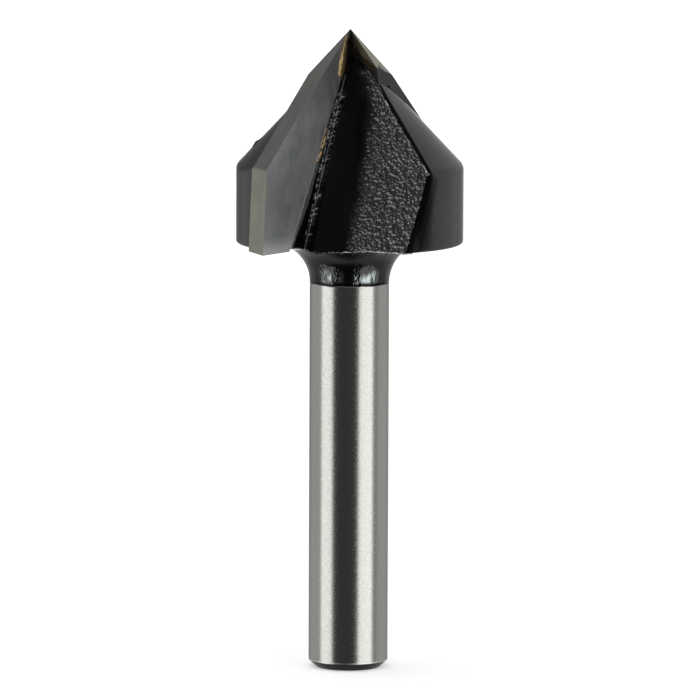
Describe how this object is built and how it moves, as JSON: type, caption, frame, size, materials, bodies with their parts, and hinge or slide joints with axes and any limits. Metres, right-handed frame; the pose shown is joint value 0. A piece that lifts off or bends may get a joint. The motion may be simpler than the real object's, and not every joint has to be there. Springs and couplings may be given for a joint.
{
  "type": "v groove router bit",
  "caption": "V groove router bit with a round shank, a coated steel head and brazed carbide cutters that meet in a right-angled point, for cutting V grooves and bevels.",
  "frame": {"origin": "centre of the shank's flat end, on the axis of rotation", "axes": "+Z along the axis from the shank to the point; the cutting edges lie along +X and -X, and the rake face of the +X cutter looks along +Y"},
  "size_m": [0.021, 0.0182, 0.0514],
  "materials": {
    "tool_steel": "shank ground bright to a fine satin; neck and head coated black above the shank, smooth on the turned faces and grainy as cast in the flutes",
    "carbide": "sintered carbide, diamond ground to a dull grey with fine grinding lines",
    "braze": "thin dull gold filler, left as it flowed"
  },
  "bodies": {
    "root": {"body": "tool_steel", "cutter_1": "carbide", "cutter_2": "carbide", "braze_1": "braze", "braze_2": "braze"}
  },
  "joints": []
}
